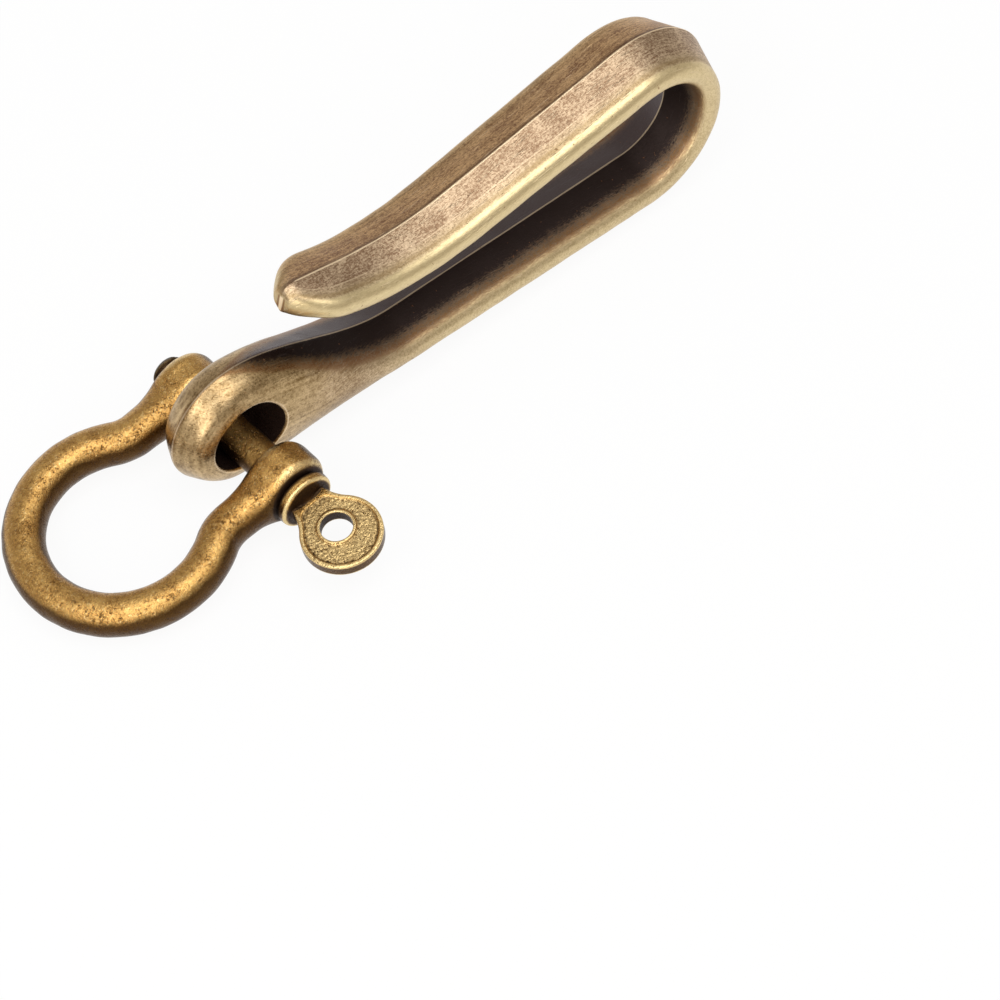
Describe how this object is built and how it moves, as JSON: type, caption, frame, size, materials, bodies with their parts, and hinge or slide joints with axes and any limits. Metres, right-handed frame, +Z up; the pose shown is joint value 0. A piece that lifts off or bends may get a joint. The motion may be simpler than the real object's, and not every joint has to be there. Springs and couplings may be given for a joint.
{
  "type": "belt key clip",
  "caption": "Antiqued brass belt hook of ridged strip with a pierced eye, carrying a bow shackle whose screw pin has a thumb tab, for hanging keys from a belt or pocket.",
  "frame": {"origin": "on the table, under the middle of the whole clip's box, with the clip lying on its back", "axes": "+X along the hook from its eye to its bend, +Y along the shackle pin from the thumb tab to the threaded end, +Z up"},
  "size_m": [0.0912, 0.0326, 0.0223],
  "materials": {
    "hook_brass": "antiqued, polished on ridges and edges",
    "shackle_brass": "antiqued, dark in the hollows"
  },
  "bodies": {
    "hook_body": {"hook": "hook_brass"},
    "bow_body": {"shackle_bow": "shackle_brass"},
    "pin_body": {"shackle_pin": "shackle_brass"}
  },
  "joints": [
    {"name": "shackle_swing", "type": "hinge", "parent": "hook_body", "child": "bow_body", "pos_m": [-0.01878, 0.0042, 0.00522], "axis": [0, 1, 0], "range_deg": [-150, 140]},
    {"name": "pin_draw", "type": "slide", "parent": "bow_body", "child": "pin_body", "axis": [0, -1, 0], "range_m": [0, 0.022]}
  ]
}
